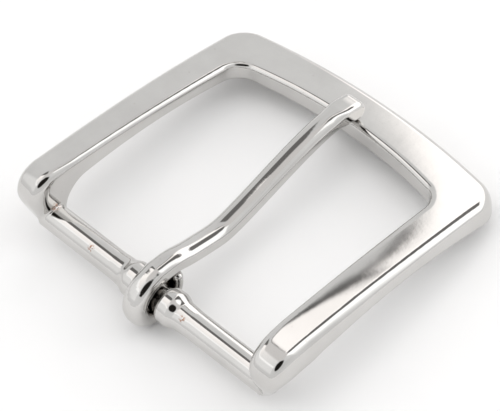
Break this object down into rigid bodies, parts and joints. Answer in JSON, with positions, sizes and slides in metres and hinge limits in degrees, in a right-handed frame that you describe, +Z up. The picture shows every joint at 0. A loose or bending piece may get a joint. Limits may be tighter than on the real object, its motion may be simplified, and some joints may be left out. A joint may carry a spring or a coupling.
{
  "type": "belt buckle",
  "caption": "Rectangular cast metal belt buckle with a strap bar and a hinged prong that rests on the far bar.",
  "frame": {"origin": "middle of the strap bar, on its axis, which is also the prong's hinge axis", "axes": "+X along the strap bar, +Y from the strap bar towards the far bar, +Z up, away from the wearer, with the buckle lying on a level surface on its prong's hook and its far bar"},
  "size_m": [0.0518, 0.0507, 0.0125],
  "materials": {
    "frame_plate": "polished nickel plate",
    "prong_plate": "polished nickel plate"
  },
  "bodies": {
    "frame": {"frame": "frame_plate"},
    "prong": {"prong": "prong_plate"}
  },
  "joints": [
    {"name": "prong_hinge", "type": "hinge", "parent": "frame", "child": "prong", "pos_m": [0, 0, 0], "axis": [1, 0, 0], "range_deg": [0, 340]}
  ]
}
